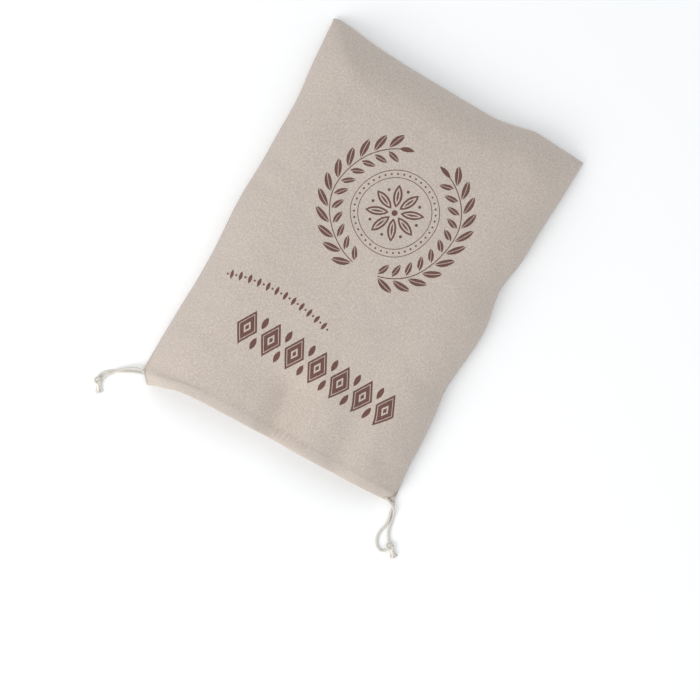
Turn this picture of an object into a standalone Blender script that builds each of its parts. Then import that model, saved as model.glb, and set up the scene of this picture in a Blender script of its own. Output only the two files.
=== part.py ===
"""A linen bread bag lying on its back panel, with its mouth open and its drawstring ends free.

Two panels of linen are sewn together along the left side, the closed end and the right side. Each
panel's mouth edge is folded into a hem, and the two hems are the channel of a double drawstring, whose
ends come out at both corners of the mouth and are knotted in pairs. The bag stands open and rounded.

Frame: +Y runs from the mouth to the closed end, +X to the right of it, +Z up. The origin is on the
surface, under the middle of the cloth's box. All sizes in the tables are millimetres.
"""

import math
from collections import namedtuple

import bmesh
import bpy
import numpy as np
from mathutils import Vector

MM = 0.001

HALF_WIDTH = 151.0
CLOTH = 1.5
GAP = 0.3
HEM_DEPTH = 11.0
HEM_THICKNESS = 3.6
HEM_INWARD = 1.1
CROWN = 46.2
FLAT_INSET = 26.0
CORD = 3.0
CORD_SPACING = 7.0
KNOT_SINK = 0.1
TO_CENTRE = (0.8, 2.5, 0.0)
ACROSS_STEPS = 38
ALONG_STEPS = 42

SideRow = namedtuple("SideRow", "y left right")
EndRow = namedtuple("EndRow", "x y")
CutRow = namedtuple("CutRow", "y inward")
SeamRow = namedtuple("SeamRow", "y height")
CrownRow = namedtuple("CrownRow", "y share")
Fold = namedtuple("Fold", "x1 y1 x2 y2 half_width lift1 lift2")
RoutePoint = namedtuple("RoutePoint", "x y z")
KnotRing = namedtuple("KnotRing", "along radius height lobe")

# The seams down both sides, which draw in a little at two soft notches on the right. The left seam's
# first rows are the slanting end of the drooping corner.
SIDES = [
    SideRow(-224, -142.5, 146.8),
    SideRow(-217, -148.6, 147.2),
    SideRow(-211, -154.0, 147.8),
    SideRow(-200, -154.2, 148.0),
    SideRow(-172, -153.5, 145.5),
    SideRow(-137, -152.0, 145.0),
    SideRow(-102, -150.0, 143.0),
    SideRow(-79, -149.5, 140.0),
    SideRow(-58, -149.5, 141.5),
    SideRow(-17, -151.5, 146.0),
    SideRow(8, -151.5, 146.0),
    SideRow(45, -149.5, 140.5),
    SideRow(83, -149.0, 146.0),
    SideRow(123, -148.5, 148.0),
    SideRow(163, -152.0, 151.0),
    SideRow(219, -155.0, 154.0),
]

# The closed end's seam, highest at the left corner and at a soft point on the right.
CLOSED_END = [
    EndRow(-155, 216.0),
    EndRow(-143, 218.5),
    EndRow(-103, 213.0),
    EndRow(-63, 209.5),
    EndRow(-13, 207.5),
    EndRow(47, 205.5),
    EndRow(72, 209.0),
    EndRow(92, 213.0),
    EndRow(117, 211.5),
    EndRow(154, 208.5),
]

# The mouth's edge, which droops at the left corner.
MOUTH = [
    EndRow(-155, -224.5),
    EndRow(-144, -221.8),
    EndRow(-138, -219.6),
    EndRow(-125, -217.0),
    EndRow(-105, -212.7),
    EndRow(-85, -211.0),
    EndRow(-65, -210.4),
    EndRow(54, -210.5),
    EndRow(120, -210.2),
    EndRow(150, -209.5),
]

# How far the upper panel's hem end stands back from the right seam, which bares the corner below.
CORNER_CUT = [
    CutRow(-224, 12.5),
    CutRow(-210.5, 12.5),
    CutRow(-206.5, 8.5),
    CutRow(-202, 4.0),
    CutRow(-197, 1.0),
    CutRow(-191, 0.0),
]

# Height of the seam between the panels above the surface, along both sides.
SEAM = [
    SeamRow(-224, HEM_THICKNESS + GAP / 2),
    SeamRow(-196, HEM_THICKNESS + GAP / 2),
    SeamRow(-150, 5.6),
    SeamRow(150, 5.6),
    SeamRow(219, 4.6),
]

# How much of the full crown the bag holds from the mouth to the closed end.
CROWN_ALONG = [
    CrownRow(-224, 0.86),
    CrownRow(-150, 0.95),
    CrownRow(-40, 1.00),
    CrownRow(70, 1.00),
    CrownRow(150, 0.955),
    CrownRow(219, 0.87),
]

# Distance from the seam over which the cloth rounds up to the crown.
LEFT_FALL = 50.0
RIGHT_FALL = 56.0
END_FALL = 50.0
FALL_POWER = 0.62
RIGHT_DROP = 4.0
TOE = 3.0
TOE_REACH = 30.0

# Soft ridges (lift above zero) and troughs (below) of the upper panel, each from one point to another.
FOLDS = [
    Fold(5, -240, -3, -158, 20, -18.0, -15.0),
    Fold(-22, -240, -28, -150, 22, -6.0, -4.0),
    Fold(82, -240, 66, -60, 15, -6.5, -1.0),
    Fold(-82, -235, -84, -60, 42, 5.0, 1.5),
    Fold(38, -235, 36, -130, 20, 6.0, 3.0),
    Fold(102, -235, 98, -110, 24, 4.0, 0.0),
    Fold(-158, 218, -92, 160, 11, 6.0, 0.0),
    Fold(156, 212, 112, 170, 10, -5.0, 0.0),
    Fold(-152, 57, -112, 54, 9, -6.0, 0.0),
    Fold(-154, 25, -116, 23, 9, -5.0, 0.0),
    Fold(146, 46, 112, 98, 9, -5.0, 0.0),
    Fold(146, -79, 110, -84, 10, -5.0, 0.0),
    Fold(150, -196, 98, -160, 12, -5.0, 0.0),
]

# The free strands, from the hem's end to the knot, lying on the surface past the first few millimetres.
LYING = CORD / 2 + 0.06
ROUTES = {
    "cord_front_left": [
        RoutePoint(-155.4, -212.9, 5.9),
        RoutePoint(-160.2, -213.5, 5.8),
        RoutePoint(-165.2, -215.5, 5.5),
        RoutePoint(-169.8, -218.4, 5.2),
        RoutePoint(-173.9, -221.7, 5.05),
        RoutePoint(-177.6, -225.3, 5.05),
        RoutePoint(-180.9, -229.0, 5.05),
        RoutePoint(-183.9, -232.9, 4.6),
        RoutePoint(-186.5, -236.8, 3.2),
        RoutePoint(-189.3, -241.8, 2.6),
    ],
    "cord_back_left": [
        RoutePoint(-154.2, -215.8, 1.85),
        RoutePoint(-158.6, -217.4, 1.7),
        RoutePoint(-163.4, -219.3, LYING),
        RoutePoint(-168.2, -221.6, LYING),
        RoutePoint(-172.8, -223.9, LYING),
        RoutePoint(-177.2, -226.0, LYING),
        RoutePoint(-181.7, -228.2, LYING),
        RoutePoint(-186.2, -231.0, LYING),
        RoutePoint(-190.4, -234.6, LYING),
        RoutePoint(-192.9, -238.2, LYING + 0.1),
        RoutePoint(-193.5, -240.5, 2.2),
    ],
    "cord_front_right": [
        RoutePoint(143.4, -209.0, 5.6),
        RoutePoint(146.0, -210.2, 5.7),
        RoutePoint(149.0, -211.6, 5.8),
        RoutePoint(152.6, -213.6, 5.6),
        RoutePoint(155.5, -216.7, 3.8),
        RoutePoint(156.6, -221.2, LYING + 0.1),
        RoutePoint(157.2, -226.0, LYING),
        RoutePoint(158.2, -231.0, LYING),
        RoutePoint(159.2, -236.5, LYING),
        RoutePoint(161.2, -241.8, LYING),
        RoutePoint(163.6, -245.6, LYING + 0.1),
        RoutePoint(165.9, -248.3, 2.6),
    ],
    "cord_back_right": [
        RoutePoint(150.4, -208.4, 1.85),
        RoutePoint(151.2, -211.4, 1.7),
        RoutePoint(151.6, -214.8, LYING),
        RoutePoint(152.1, -219.8, LYING),
        RoutePoint(153.5, -225.2, LYING),
        RoutePoint(154.1, -230.2, LYING),
        RoutePoint(153.4, -235.6, LYING),
        RoutePoint(151.9, -241.6, LYING),
        RoutePoint(151.5, -247.4, LYING),
        RoutePoint(152.9, -252.8, LYING),
        RoutePoint(156.2, -257.6, LYING),
        RoutePoint(160.6, -260.2, LYING),
        RoutePoint(164.8, -259.4, LYING + 0.1),
        RoutePoint(166.6, -256.6, 2.4),
    ],
}

# A knot's rings: distance along its tail, radius, height of the centre, and how far its lobes stand out.
KNOT_RINGS = [
    KnotRing(-3.7, 1.3, 3.7, 0.00),
    KnotRing(-3.1, 2.5, 3.7, 0.04),
    KnotRing(-1.8, 3.2, 3.7, 0.10),
    KnotRing(0.0, 3.4, 3.7, 0.12),
    KnotRing(1.8, 3.1, 3.6, 0.10),
    KnotRing(3.1, 2.4, 3.2, 0.05),
    KnotRing(4.4, 1.9, 2.7, 0.00),
    KnotRing(6.6, 2.1, 2.4, 0.05),
    KnotRing(9.4, 2.5, 2.7, 0.08),
    KnotRing(12.2, 2.7, 2.9, 0.10),
    KnotRing(13.4, 2.1, 2.9, 0.14),
]
KNOT_SIDES = 14
KNOT_LOBES = 5
KNOT_TWIST = 0.35
TUFT_WIDEN = 1.15
KNOTS = {
    "knot_left": (Vector((-191.8, -245.6, 0.0)), Vector((0.58, -0.815, 0.0))),
    "knot_right": (Vector((168.8, -251.8, 0.0)), Vector((0.78, -0.63, 0.0))),
}

LINEN = (0.54, 0.49, 0.43)
COTTON = (0.62, 0.58, 0.50)


def mix(low, high, share):
    """The value a given share of the way from low to high."""
    return low + (high - low) * share


def smooth(share):
    """An even ease from 0 to 1."""
    share = min(1.0, max(0.0, share))
    return share * share * (3 - 2 * share)


def read(rows, key, column, at):
    """Reads one column of a table at a place between its rows, on a smooth curve through them."""
    places = [getattr(row, key) for row in rows]
    values = [getattr(row, column) for row in rows]
    at = min(places[-1], max(places[0], at))
    last = len(rows) - 2
    i = min(last, max(0, next((k for k, place in enumerate(places) if place > at), last + 1) - 1))
    slopes = []
    for k in (i, i + 1):
        before, after = max(0, k - 1), min(len(rows) - 1, k + 1)
        slopes.append((values[after] - values[before]) / (places[after] - places[before]))
    span = places[i + 1] - places[i]
    t = (at - places[i]) / span
    ease = smooth(t)
    bend = t * (1 - t) * span * (slopes[0] * (1 - t) - slopes[1] * t)
    return mix(values[i], values[i + 1], ease) + bend


def right_side(y, cut):
    """The right seam, or with the cut at 1 the upper panel's edge, which stands back at the mouth."""
    return read(SIDES, "y", "right", y) - cut * read(CORNER_CUT, "y", "inward", y)


def plan(across, along, cut=0.0):
    """A place on the cloth seen from above: across 0 to 1 from left, along 0 to 1 from the mouth."""
    straight = mix(-HALF_WIDTH, HALF_WIDTH, across)
    y = mix(read(MOUTH, "x", "y", straight), read(CLOSED_END, "x", "y", straight), along)
    return mix(read(SIDES, "y", "left", y), right_side(y, cut), across), y


def round_up(distance, reach):
    """0 at a seam, rising as a round shoulder to 1 at the reach."""
    share = min(1.0, max(0.0, distance / reach))
    return (1 - (1 - share) ** 2) ** FALL_POWER


def fold_lift(x, y):
    """How far the folds raise or lower the upper panel at one place."""
    lift = 0.0
    for fold in FOLDS:
        run = Vector((fold.x2 - fold.x1, fold.y2 - fold.y1))
        reach = Vector((x - fold.x1, y - fold.y1))
        t = min(1.0, max(0.0, reach.dot(run) / run.length_squared))
        aside = (reach - run * t).length / fold.half_width
        lift += mix(fold.lift1, fold.lift2, t) * math.exp(-aside * aside)
    return lift


def in_hem(from_mouth):
    """1 inside the hem, falling to 0 past its stitching."""
    return 1 - smooth((from_mouth - HEM_DEPTH + 2) / 2.5)


def front_inner(across, along):
    """The inner face of the upper panel's cloth."""
    x, y = plan(across, along, 1.0)
    toe = TOE * smooth(1 - (y - MOUTH[-1].y) / TOE_REACH)
    from_left = x - read(SIDES, "y", "left", y) - toe
    from_right = right_side(y, 1.0) - x - toe
    from_end = read(CLOSED_END, "x", "y", x) - y
    rise = round_up(from_left, LEFT_FALL) * round_up(from_right, RIGHT_FALL) * round_up(from_end, END_FALL)
    crown = CROWN * read(CROWN_ALONG, "y", "share", y) - RIGHT_DROP * smooth(x / HALF_WIDTH)
    hem = HEM_INWARD * in_hem(y - read(MOUTH, "x", "y", x))
    seam = read(SEAM, "y", "height", y) + GAP / 2
    return Vector((x, y, seam + hem + rise * (crown + fold_lift(x, y))))


def spread(steps, crowding):
    """Shares from 0 to 1, closer together at both ends by the crowding, 0 to 1."""
    even = [k / steps for k in range(steps + 1)]
    return [mix(s, (1 - math.cos(math.pi * s)) / 2, crowding) for s in even]


def along_shares():
    """Shares from the mouth to the closed end, with rows of their own for the hem."""
    length = CLOSED_END[4].y - MOUTH[-3].y
    hem = [0.0, 1.0, HEM_DEPTH / 2, HEM_DEPTH - 1.5, HEM_DEPTH + 0.8]
    first = hem[-1] / length
    rest = [first + (1 - first) * math.sin(math.pi / 2 * (k / (ALONG_STEPS - 4)) ** 0.9)
            for k in range(1, ALONG_STEPS - 3)]
    even = [first + (1 - first) * k / (ALONG_STEPS - 4) for k in range(1, ALONG_STEPS - 3)]
    return [d / length for d in hem] + [mix(e, r, 0.55) for e, r in zip(even, rest)]


ACROSS = spread(ACROSS_STEPS, 0.6)
ALONG = along_shares()


def material(name, color, roughness):
    """A plain cloth finish."""
    finish = bpy.data.materials.new(name)
    finish.use_nodes = True
    shader = finish.node_tree.nodes["Principled BSDF"]
    shader.inputs["Base Color"].default_value = (*color, 1.0)
    shader.inputs["Roughness"].default_value = roughness
    shader.inputs["Metallic"].default_value = 0.0
    return finish


def add_object(name, mesh_builder, color, roughness, smooth_angle=50):
    """Turns a finished bmesh, drawn in millimetres, into a named object in metres."""
    bmesh.ops.translate(mesh_builder, vec=TO_CENTRE, verts=mesh_builder.verts)
    bmesh.ops.scale(mesh_builder, vec=(MM, MM, MM), verts=mesh_builder.verts)
    bmesh.ops.recalc_face_normals(mesh_builder, faces=mesh_builder.faces)
    mesh = bpy.data.meshes.new(name)
    mesh_builder.to_mesh(mesh)
    mesh_builder.free()
    mesh.shade_smooth()
    mesh.set_sharp_from_angle(angle=math.radians(smooth_angle))
    mesh.materials.append(material(name, color, roughness))
    piece = bpy.data.objects.new(name, mesh)
    bpy.context.collection.objects.link(piece)
    return piece


def close_rim(sheet, inner_loop, outer_loop):
    """Joins the edges of a sheet's two faces all the way round."""
    count = len(inner_loop)
    for k in range(count):
        n = (k + 1) % count
        sheet.faces.new((inner_loop[k], inner_loop[n], outer_loop[n], outer_loop[k]))


def rim_places():
    """Row and column of each rim point, once round: mouth, right side, closed end, left side."""
    last_i, last_j = len(ACROSS) - 1, len(ALONG) - 1
    mouth = [(i, 0) for i in range(last_i)]
    right = [(last_i, j) for j in range(last_j)]
    end = [(i, last_j) for i in range(last_i, 0, -1)]
    left = [(0, j) for j in range(last_j, 0, -1)]
    return mouth + right + end + left


def front_panel():
    """The upper panel: a rounded sheet with its mouth hem, thickened outwards from its inner face."""
    grid = np.array([[front_inner(a, b) for b in ALONG] for a in ACROSS])
    run_across = np.gradient(grid, axis=0)
    run_along = np.gradient(grid, axis=1)
    outward = np.cross(run_across, run_along)
    outward /= np.linalg.norm(outward, axis=2, keepdims=True)
    sheet = bmesh.new()
    inner, outer = [], []
    for i in range(len(ACROSS)):
        inner.append([])
        outer.append([])
        for j in range(len(ALONG)):
            point = Vector(grid[i, j])
            normal = Vector(outward[i, j])
            hem = in_hem(point.y - read(MOUTH, "x", "y", point.x))
            edge = smooth((point.y - read(MOUTH, "x", "y", point.x)) / 1.5)
            inset = HEM_INWARD * hem
            thick = CLOTH + (HEM_THICKNESS - CLOTH) * hem * mix(0.75, 1.0, edge)
            base = point - Vector((0, 0, inset))
            inner[i].append(sheet.verts.new(base))
            outer[i].append(sheet.verts.new(base + normal * thick))
    for i in range(len(ACROSS) - 1):
        for j in range(len(ALONG) - 1):
            sheet.faces.new((outer[i][j], outer[i + 1][j], outer[i + 1][j + 1], outer[i][j + 1]))
            sheet.faces.new((inner[i][j + 1], inner[i + 1][j + 1], inner[i + 1][j], inner[i][j]))
    places = rim_places()
    close_rim(sheet, [inner[i][j] for i, j in places], [outer[i][j] for i, j in places])
    return add_object("front_panel", sheet, LINEN, 0.9)


def back_panel():
    """The lower panel: flat on the surface, its edges curling up to the seam, with its mouth hem."""
    mouth_steps = [0.0, HEM_DEPTH - 1.5, HEM_DEPTH + 0.8, HEM_DEPTH + 12]
    side_steps = [0.0, 7.0, 15.0, FLAT_INSET]
    length = CLOSED_END[4].y - MOUTH[-3].y
    sheet = bmesh.new()
    under, over = [], []
    for to_mouth, to_side in zip(mouth_steps, side_steps):
        under.append([])
        over.append([])
        first, last = to_mouth / length, 1 - to_side / length
        edge = to_side / (2 * HALF_WIDTH)
        for i, j in rim_places():
            x, y = plan(mix(edge, 1 - edge, ACROSS[i]), mix(first, last, ALONG[j]))
            hem = in_hem(y - read(MOUTH, "x", "y", x))
            thick = CLOTH + (HEM_THICKNESS - CLOTH) * hem
            to_seam = min(x - read(SIDES, "y", "left", y), read(SIDES, "y", "right", y) - x,
                          read(CLOSED_END, "x", "y", x) - y)
            top = read(SEAM, "y", "height", y) - GAP / 2
            curl = min(1.0, max(0.0, 1 - to_seam / FLAT_INSET)) ** 2
            rest = max(0.0, top - thick) * (curl if to_side < FLAT_INSET else 0.0)
            under[-1].append(sheet.verts.new((x, y, rest)))
            over[-1].append(sheet.verts.new((x, y, rest + thick)))
    count = len(under[0])
    for ring in range(len(side_steps) - 1):
        for k in range(count):
            n = (k + 1) % count
            for layer in (under, over):
                sheet.faces.new((layer[ring][k], layer[ring][n], layer[ring + 1][n], layer[ring + 1][k]))
    middles = [sheet.faces.new(under[-1]), sheet.faces.new(over[-1])]
    bmesh.ops.poke(sheet, faces=middles, center_mode="MEAN")
    close_rim(sheet, under[0], over[0])
    return add_object("back_panel", sheet, LINEN, 0.9)


def smooth_route(points):
    """Places about CORD_SPACING apart on a smooth curve through the route's points."""
    whole = [Vector(p) for p in points]
    ends = [whole[0] * 2 - whole[1]] + whole + [whole[-1] * 2 - whole[-2]]
    fine = []
    for k in range(1, len(ends) - 2):
        p0, p1, p2, p3 = ends[k - 1:k + 3]
        for step in range(20):
            t = step / 20
            fine.append(0.5 * ((2 * p1) + (p2 - p0) * t + (2 * p0 - 5 * p1 + 4 * p2 - p3) * t * t
                               + (3 * p1 - p0 - 3 * p2 + p3) * t ** 3))
    fine.append(whole[-1])
    lengths = [0.0]
    for a, b in zip(fine, fine[1:]):
        lengths.append(lengths[-1] + (b - a).length)
    count = max(2, round(lengths[-1] / CORD_SPACING))
    route = []
    for k in range(count + 1):
        target = lengths[-1] * k / count
        i = min(len(fine) - 2, max(0, next((n for n, s in enumerate(lengths) if s > target), len(fine)) - 1))
        share = (target - lengths[i]) / (lengths[i + 1] - lengths[i])
        route.append(fine[i].lerp(fine[i + 1], min(1.0, share)))
    return route


def cord(name, points):
    """One free strand of twisted cotton, as a tube."""
    curve = bpy.data.curves.new(name, "CURVE")
    curve.dimensions = "3D"
    curve.bevel_depth = CORD / 2 * MM
    curve.bevel_resolution = 2
    curve.use_fill_caps = True
    spline = curve.splines.new("POLY")
    route = smooth_route(points)
    spline.points.add(len(route) - 1)
    for point, place in zip(spline.points, route):
        point.co = (*((place + Vector(TO_CENTRE)) * MM), 1.0)
    curve.materials.append(material(name, COTTON, 0.85))
    piece = bpy.data.objects.new(name, curve)
    bpy.context.collection.objects.link(piece)
    return piece


def knot(name, centre, tail):
    """An overhand knot of two strands with the tuft of its cut ends, resting on the surface."""
    side = Vector((0, 0, 1)).cross(tail).normalized()
    up = Vector((0, 0, 1))
    solid = bmesh.new()
    rings = []
    for row in KNOT_RINGS:
        middle = centre + tail.normalized() * row.along + up * row.height
        widen = mix(1.0, TUFT_WIDEN, smooth((row.along - 3) / 6))
        ring = []
        for k in range(KNOT_SIDES):
            angle = 2 * math.pi * k / KNOT_SIDES
            radius = row.radius * (1 + row.lobe * math.cos(KNOT_LOBES * (angle + KNOT_TWIST * row.along)))
            point = middle + side * (radius * widen * math.cos(angle)) + up * (radius * math.sin(angle))
            point.z = max(KNOT_SINK, point.z)
            ring.append(solid.verts.new(point))
        rings.append(ring)
    for low, high in zip(rings, rings[1:]):
        for k in range(KNOT_SIDES):
            n = (k + 1) % KNOT_SIDES
            solid.faces.new((low[k], low[n], high[n], high[k]))
    solid.faces.new(list(reversed(rings[0])))
    solid.faces.new(rings[-1])
    return add_object(name, solid, COTTON, 0.9)


for old in list(bpy.data.objects):
    bpy.data.objects.remove(old, do_unlink=True)

front_panel()
back_panel()
for cord_name, cord_points in ROUTES.items():
    cord(cord_name, cord_points)
for knot_name, (knot_centre, knot_tail) in KNOTS.items():
    knot(knot_name, knot_centre, knot_tail)
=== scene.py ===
import math
import random
from collections import namedtuple

import bmesh
import bpy
import numpy as np
from mathutils import Matrix, Vector, noise


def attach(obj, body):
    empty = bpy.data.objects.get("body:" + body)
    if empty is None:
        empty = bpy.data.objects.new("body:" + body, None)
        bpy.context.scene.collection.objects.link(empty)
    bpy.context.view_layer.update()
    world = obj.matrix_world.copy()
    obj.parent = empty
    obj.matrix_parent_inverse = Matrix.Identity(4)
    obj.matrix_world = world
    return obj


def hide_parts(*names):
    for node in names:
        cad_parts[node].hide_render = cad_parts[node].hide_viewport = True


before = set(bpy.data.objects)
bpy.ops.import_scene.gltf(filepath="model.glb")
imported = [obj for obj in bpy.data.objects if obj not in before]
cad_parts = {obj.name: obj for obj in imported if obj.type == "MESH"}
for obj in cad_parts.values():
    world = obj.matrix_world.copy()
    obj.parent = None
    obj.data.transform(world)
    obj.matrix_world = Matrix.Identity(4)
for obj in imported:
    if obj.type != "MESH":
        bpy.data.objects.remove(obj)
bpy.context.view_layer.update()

# The surface and the studio.
# A plain white table top, wide soft light from the bag's left and its mouth, and an even white room.
# The camera looks straight down, turned so that the bag lies aslant in the picture.
VIEW_WIDTH = 0.7525
VIEW_CENTRE = (0.0308, -0.0845)
VIEW_TURN = math.radians(28.6)
CAMERA_HEIGHT = 4.0
SENSOR = 36.0
ROOM_WHITE = (0.95, 0.975, 1.0, 1.0)
ROOM_STRENGTH = 0.88
FLOOR_WHITE = (0.98, 0.98, 0.98, 1.0)
FLOOR_HALF = 3.0

scene = bpy.context.scene
scene.view_settings.view_transform = "Standard"

camera_data = bpy.data.cameras.new("camera")
camera_data.sensor_width = SENSOR
camera_data.lens = SENSOR * CAMERA_HEIGHT / VIEW_WIDTH
camera = bpy.data.objects.new("camera", camera_data)
camera.location = (*VIEW_CENTRE, CAMERA_HEIGHT)
camera.rotation_euler = (0.0, 0.0, VIEW_TURN)
scene.collection.objects.link(camera)
scene.camera = camera

room = bpy.data.worlds.new("room")
room.use_nodes = True
room.node_tree.nodes["Background"].inputs["Color"].default_value = ROOM_WHITE
room.node_tree.nodes["Background"].inputs["Strength"].default_value = ROOM_STRENGTH
scene.world = room


def soft_light(name, place, size, power, color):
    """A square soft light that faces the bag."""
    data = bpy.data.lights.new(name, "AREA")
    data.shape = "SQUARE"
    data.size = size
    data.energy = power
    data.color = color
    lamp = bpy.data.objects.new(name, data)
    lamp.location = place
    lamp.rotation_euler = (-Vector(place)).to_track_quat("-Z", "Y").to_euler()
    scene.collection.objects.link(lamp)


soft_light("window", place=(-0.62, -1.24, 1.13), size=1.0, power=12.0, color=(1.0, 0.975, 0.93))

floor_mesh = bmesh.new()
bmesh.ops.create_grid(floor_mesh, x_segments=1, y_segments=1, size=FLOOR_HALF)
floor_data = bpy.data.meshes.new("table_top")
floor_mesh.to_mesh(floor_data)
floor_mesh.free()
floor = bpy.data.objects.new("table_top", floor_data)
scene.collection.objects.link(floor)
floor_paint = bpy.data.materials.new("white_table")
floor_paint.use_nodes = True
floor_shader = floor_paint.node_tree.nodes["Principled BSDF"]
floor_shader.inputs["Base Color"].default_value = FLOOR_WHITE
floor_shader.inputs["Roughness"].default_value = 0.6
floor_data.materials.append(floor_paint)

# The upper panel of the bag.
# One length of natural linen, rounded over what the bag holds, with a folded mouth hem that is open at
# both ends as the drawstring's channel. Its other three edges are turned in at the seam.

# Sizes of the cloth are in millimetres in the bag's own frame. TO_CENTRE moves it to the shared one.
MM = 0.001
HALF_WIDTH = 151.0
TO_CENTRE = Vector((0.8, 2.5, 0.0))
CLOTH = 0.8
GAP = 0.3
HEM_DEPTH = 11.0
HEM_HEIGHT = 4.4
CROWN = 46.2
LEFT_FALL = 50.0
RIGHT_FALL = 56.0
END_FALL = 50.0
FALL_POWER = 0.62
RIGHT_DROP = 4.0
TOE = 3.0
TOE_REACH = 30.0
EDGE_PUFF, PUFF_REACH = 1.3, 3.0
HEM_CLEARANCE = 2.0
HEM_EASE_START, HEM_EASE = 2.0, 3.5
TURN_IN = (2.2, 1.0)
SEAM_PRESS = 0.03

SideRow = namedtuple("SideRow", "y left right")
EndRow = namedtuple("EndRow", "x y")
CutRow = namedtuple("CutRow", "y inward")
SeamRow = namedtuple("SeamRow", "y height")
CrownRow = namedtuple("CrownRow", "y share")
Fold = namedtuple("Fold", "x1 y1 x2 y2 half_width lift1 lift2")
HemRow = namedtuple("HemRow", "inward out")
Ease = namedtuple("Ease", "start reach")
Uneven = namedtuple("Uneven", "height size seed")

LEFT_EASE, RIGHT_EASE = Ease(30, 70), Ease(4, 24)
UNEVEN = [Uneven(1.1, 46.0, 3.0), Uneven(0.45, 17.0, 8.0)]
UNEVEN_REACH = 6.0
WAVER_GAIN = 1.6

SIDES = [
    SideRow(-224, -142.5, 146.8),
    SideRow(-217, -148.6, 147.2),
    SideRow(-211, -154.0, 147.8),
    SideRow(-200, -154.2, 148.0),
    SideRow(-172, -153.5, 145.5),
    SideRow(-137, -152.0, 145.0),
    SideRow(-102, -150.0, 143.0),
    SideRow(-79, -149.5, 140.0),
    SideRow(-58, -149.5, 141.5),
    SideRow(-17, -151.5, 146.0),
    SideRow(8, -151.5, 146.0),
    SideRow(45, -149.5, 140.5),
    SideRow(83, -149.0, 146.0),
    SideRow(123, -148.5, 148.0),
    SideRow(163, -152.0, 151.0),
    SideRow(219, -155.0, 154.0),
]
CLOSED_END = [
    EndRow(-155, 216.0),
    EndRow(-143, 218.5),
    EndRow(-103, 213.0),
    EndRow(-63, 209.5),
    EndRow(-13, 207.5),
    EndRow(47, 205.5),
    EndRow(72, 209.0),
    EndRow(92, 213.0),
    EndRow(117, 211.5),
    EndRow(154, 208.5),
]
MOUTH = [
    EndRow(-155, -224.5),
    EndRow(-144, -221.8),
    EndRow(-138, -219.6),
    EndRow(-125, -217.0),
    EndRow(-105, -212.7),
    EndRow(-85, -211.0),
    EndRow(-65, -210.4),
    EndRow(54, -210.5),
    EndRow(120, -210.2),
    EndRow(150, -209.5),
]
CORNER_CUT = [
    CutRow(-224, 12.5),
    CutRow(-210.5, 12.5),
    CutRow(-206.5, 8.5),
    CutRow(-202, 4.0),
    CutRow(-197, 1.0),
    CutRow(-191, 0.0),
]
SEAM = [
    SeamRow(-224, HEM_HEIGHT + GAP / 2),
    SeamRow(-196, HEM_HEIGHT + GAP / 2),
    SeamRow(-150, 5.6),
    SeamRow(150, 5.6),
    SeamRow(219, 4.6),
]
CROWN_ALONG = [
    CrownRow(-224, 0.86),
    CrownRow(-150, 0.95),
    CrownRow(-40, 1.00),
    CrownRow(70, 1.00),
    CrownRow(150, 0.955),
    CrownRow(219, 0.87),
]
FOLDS = [
    Fold(5, -240, -3, -158, 20, -18.0, -15.0),
    Fold(-22, -240, -28, -150, 22, -6.0, -4.0),
    Fold(82, -240, 66, -60, 15, -6.5, -1.0),
    Fold(-82, -235, -84, -60, 42, 5.0, 1.5),
    Fold(38, -235, 36, -130, 20, 6.0, 3.0),
    Fold(102, -235, 98, -110, 24, 4.0, 0.0),
    Fold(-158, 218, -92, 160, 11, 6.0, 0.0),
    Fold(156, 212, 112, 170, 10, -5.0, 0.0),
    Fold(-152, 57, -112, 54, 9, -6.0, 0.0),
    Fold(-154, 25, -116, 23, 9, -5.0, 0.0),
    Fold(146, 46, 112, 98, 9, -5.0, 0.0),
    Fold(146, -79, 110, -84, 10, -5.0, 0.0),
    Fold(150, -196, 98, -160, 12, -5.0, 0.0),
]


def mix(low, high, share):
    """The value a given share of the way from low to high."""
    return low + (high - low) * share


def smooth(share):
    """An even ease from 0 to 1."""
    share = np.clip(share, 0.0, 1.0)
    return share * share * (3 - 2 * share)


def read(rows, key, column, at):
    """Reads one column of a table at places between its rows, on a smooth curve through them."""
    places = np.array([getattr(row, key) for row in rows], float)
    values = np.array([getattr(row, column) for row in rows], float)
    at = np.clip(at, places[0], places[-1])
    i = np.clip(np.searchsorted(places, at, side="right") - 1, 0, len(rows) - 2)
    before = np.maximum(np.arange(len(rows)) - 1, 0)
    after = np.minimum(np.arange(len(rows)) + 1, len(rows) - 1)
    slopes = (values[after] - values[before]) / (places[after] - places[before])
    span = places[i + 1] - places[i]
    t = (at - places[i]) / span
    bend = t * (1 - t) * span * (slopes[i] * (1 - t) - slopes[i + 1] * t)
    return mix(values[i], values[i + 1], smooth(t)) + bend


def right_side(y, cut):
    """The right seam, from which the upper hem's end stands back at the corner."""
    return read(SIDES, "y", "right", y) - cut * read(CORNER_CUT, "y", "inward", y)


def plan(across, along, cut=0.0):
    """Places on the cloth seen from above: across 0 to 1 from left, along 0 to 1 from the mouth."""
    straight = mix(-HALF_WIDTH, HALF_WIDTH, across)
    y = mix(read(MOUTH, "x", "y", straight), read(CLOSED_END, "x", "y", straight), along)
    return mix(read(SIDES, "y", "left", y), right_side(y, cut), across), y


def round_up(distance, reach):
    """0 at a seam, rising as a round shoulder to 1 at the reach."""
    share = np.clip(distance / reach, 0.0, 1.0)
    return (1 - (1 - share) ** 2) ** FALL_POWER


def fold_lift(x, y):
    """How far the folds raise or lower the upper panel."""
    lift = np.zeros_like(x)
    for fold in FOLDS:
        run = np.array((fold.x2 - fold.x1, fold.y2 - fold.y1))
        t = np.clip(((x - fold.x1) * run[0] + (y - fold.y1) * run[1]) / run.dot(run), 0, 1)
        aside = np.hypot(x - fold.x1 - t * run[0], y - fold.y1 - t * run[1]) / fold.half_width
        lift += mix(fold.lift1, fold.lift2, t) * np.exp(-aside * aside)
    return lift


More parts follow.
